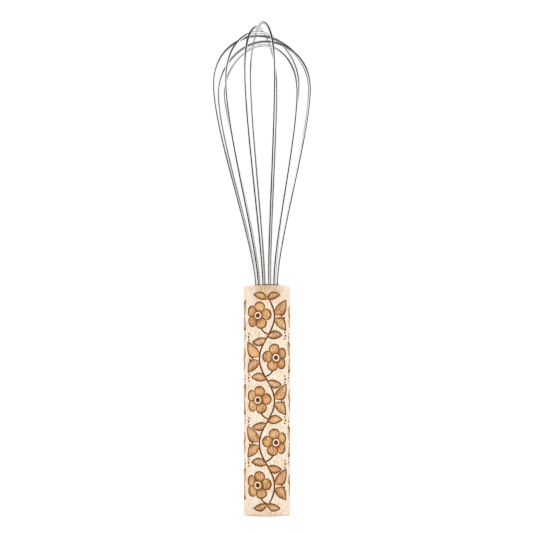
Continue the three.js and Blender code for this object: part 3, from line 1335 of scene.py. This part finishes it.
@dataclass
class Studio:
    """The pale floor, the soft light and the camera. Sizes are in millimetres, turns in degrees."""

    eye: Place = (-0.25, -1000.0, 76.6)
    pitch: float = 4.175
    focal_pixels: float = 1651.0
    sensor: float = 36.0
    view_depth: float = 100000.0
    floor_side: float = 12000.0
    floor_colour: str = "#F4F4F2"
    floor_glow: float = 0.3
    lamps: tuple[Lamp, ...] = (
        Lamp("key", (-1150.0, -950.0, 1250.0), 1000.0, 7.7),
        Lamp("fill", (1300.0, -500.0, 700.0), 1000.0, 5.0))
    lamp_aim: Place = (0.0, 0.0, 150.0)
    background: float = 1.0
    ambient: float = 0.86
    room: tuple[Point, ...] = (  # turn up from the level behind the camera, and the light there
        (-52.0, 0.56), (-32.0, 0.02), (2.0, 0.02), (11.0, 0.17), (38.0, 0.15), (60.0, 0.03),
        (115.0, 0.03), (145.0, 0.16), (170.0, 0.4), (200.0, 0.56))
    side_level: float = 1.45  # lamps at both sides show brighter than paper
    side_edges: Point = (0.64, 0.92)
    low_slant: float = 0.28  # the sides are narrower low down, and wider beyond the whisk
    far_slant: float = 0.34
    corner_shade: float = 0.7  # they are darker at the upper right and the lower left
    corner_limit: float = 0.12

    def build(self) -> None:
        """Set up the floor, the light and the camera."""
        bpy.context.scene.view_settings.view_transform = "Standard"
        self._floor()
        self._world()
        for lamp in self.lamps:
            self._hang(lamp)
        self._camera()

    def _floor(self) -> None:
        """Lay a white floor that stays white to the camera outside the whisk's shadow."""
        half = self.floor_side / 2 * MM
        mesh = bpy.data.meshes.new("floor")
        corners = [(-half, -half, 0), (half, -half, 0), (half, half, 0), (-half, half, 0)]
        mesh.from_pydata(corners, [], [(0, 1, 2, 3)])
        material, tree = new_material("floor_paper")
        path = add_node(tree, "ShaderNodeLightPath")
        matt = add_node(tree, "ShaderNodeBsdfDiffuse", inputs={"Color": linear(self.floor_colour)})
        glow = add_node(tree, "ShaderNodeEmission", inputs={"Color": WHITE, "Strength": self.floor_glow})
        lifted = add_node(tree, "ShaderNodeAddShader", inputs={0: matt.outputs[0], 1: glow.outputs[0]})
        seen = add_node(tree, "ShaderNodeMath", {"operation": "MAXIMUM"}, {
            0: path.outputs["Is Camera Ray"], 1: path.outputs["Is Glossy Ray"]})
        shader = add_node(tree, "ShaderNodeMixShader", inputs={
            0: seen.outputs[0], 1: matt.outputs[0], 2: lifted.outputs[0]})
        add_node(tree, "ShaderNodeOutputMaterial", inputs={"Surface": shader.outputs[0]})
        mesh.materials.append(material)
        floor = bpy.data.objects.new("floor", mesh)
        floor.visible_glossy = False
        bpy.context.scene.collection.objects.link(floor)

    def _world(self) -> None:
        """Light the whisk evenly, before a white background, with a room that only the steel mirrors."""
        world = bpy.data.worlds.new("studio")
        world.use_nodes = True
        tree = world.node_tree
        tree.nodes.clear()
        path = add_node(tree, "ShaderNodeLightPath")
        white, plain, mirrored = [
            add_node(tree, "ShaderNodeBackground", inputs={"Color": WHITE, "Strength": level}).outputs[0]
            for level in (self.background, self.ambient, self._room_light(tree))]
        lit = add_node(tree, "ShaderNodeMixShader", inputs={
            0: path.outputs["Is Glossy Ray"], 1: plain, 2: mirrored})
        seen = add_node(tree, "ShaderNodeMath", {"operation": "MAXIMUM"}, {
            0: path.outputs["Is Camera Ray"], 1: path.outputs["Is Transmission Ray"]})
        shader = add_node(tree, "ShaderNodeMixShader", inputs={
            0: seen.outputs[0], 1: lit.outputs[0], 2: white})
        add_node(tree, "ShaderNodeOutputWorld", inputs={"Surface": shader.outputs[0]})
        bpy.context.scene.world = world

    def _room_light(self, tree: Tree) -> Socket:
        """Draw the room in the wires: dim behind the camera and overhead, a grey table, bright sides.

        Args:
            tree: The world's tree.

        Returns:
            The socket of the light's strength in each direction.
        """
        way = add_node(tree, "ShaderNodeTexCoord").outputs["Generated"]
        parts = add_node(tree, "ShaderNodeSeparateXYZ", inputs={0: way}).outputs
        nearer = add_node(tree, "ShaderNodeMath", {"operation": "MULTIPLY"}, {0: parts["Y"], 1: -1.0})
        rise = add_node(tree, "ShaderNodeMath", {"operation": "ARCTAN2"}, {
            0: parts["Z"], 1: nearer.outputs[0]})
        turns = add_node(tree, "ShaderNodeMath", {"operation": "DIVIDE"}, {
            0: rise.outputs[0], 1: math.tau})
        share = add_node(tree, "ShaderNodeMath", {"operation": "FRACT"}, {0: turns.outputs[0]})
        band = add_node(tree, "ShaderNodeValToRGB", inputs={0: share.outputs[0]})
        band.color_ramp.interpolation = "LINEAR"
        stops = band.color_ramp.elements
        stops.remove(stops[-1])
        for angle, level in self.room:
            stops.new(angle / FULL_TURN % 1).color = (level, level, level, 1.0)
        stops.remove(stops[0])
        across = add_node(tree, "ShaderNodeMath", {"operation": "ABSOLUTE"}, {0: parts["X"]})
        below = add_node(tree, "ShaderNodeMath", {"operation": "MINIMUM"}, {0: parts["Z"], 1: 0.0})
        beyond = add_node(tree, "ShaderNodeMath", {"operation": "MAXIMUM"}, {0: parts["Y"], 1: 0.0})
        slope = add_node(tree, "ShaderNodeMath", {"operation": "MULTIPLY"}, {0: parts["X"], 1: parts["Z"]})
        corner = add_node(tree, "ShaderNodeClamp", inputs={
            "Value": slope.outputs[0], "Min": 0.0, "Max": self.corner_limit})
        aside = across
        slants = ((below, self.low_slant), (beyond, self.far_slant), (corner, -self.corner_shade))
        for part, slant in slants:
            aside = add_node(tree, "ShaderNodeMath", {"operation": "MULTIPLY_ADD"}, {
                0: part.outputs[0], 1: slant, 2: aside.outputs[0]})
        light = add_node(tree, "ShaderNodeMapRange", {"interpolation_type": "SMOOTHSTEP"}, {
            "Value": aside.outputs[0], "From Min": self.side_edges[0], "From Max": self.side_edges[1],
            "To Min": band.outputs[0], "To Max": self.side_level})
        return light.outputs[0]

    def _hang(self, lamp: Lamp) -> None:
        """Hang a soft lamp that faces the whisk and that the steel doesn't mirror.

        Args:
            lamp: The lamp's name, place, side and power.
        """
        light = bpy.data.lights.new(lamp.name, "AREA")
        light.size = lamp.side * MM
        light.energy = lamp.power
        holder = bpy.data.objects.new(lamp.name, light)
        holder.visible_glossy = False
        holder.location = Vector(lamp.place) * MM
        facing = Vector(self.lamp_aim) - Vector(lamp.place)
        holder.rotation_euler = facing.to_track_quat("-Z", "Y").to_euler()
        bpy.context.scene.collection.objects.link(holder)

    def _camera(self) -> None:
        """Stand the camera where the photograph was taken."""
        data = bpy.data.cameras.new("camera")
        data.sensor_width = self.sensor
        data.lens = self.sensor * self.focal_pixels / IMAGE_SIDE
        data.clip_end = self.view_depth * MM
        camera = bpy.data.objects.new("camera", data)
        camera.location = Vector(self.eye) * MM
        camera.rotation_euler = (math.radians(QUARTER_TURN + self.pitch), 0.0, 0.0)
        bpy.context.scene.collection.objects.link(camera)
        bpy.context.scene.camera = camera


def main() -> None:
    """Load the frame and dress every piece."""
    logging.basicConfig(level=logging.INFO, format="%(name)s: %(message)s")
    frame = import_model()
    _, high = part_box("handle")
    Studio().build()
    handle = EngravedHandle(EngravedBeech(), radius=high.x / MM, length=high.z / MM)
    handle.build()
    head = WireHead(DrawnSteel(), mouth_level=handle.length)
    head.build()
    ResinMouth(SetResin(), head, handle.bore_radius).build()
    core = frame["nodes"]["core_plug"]
    core.data.materials.clear()
    core.data.materials.append(EngravedBeech(name="beech_core").material())
    LOG.info("core_plug: kept from the frame, dressed in plain beech")


if __name__ == "__main__":
    main()
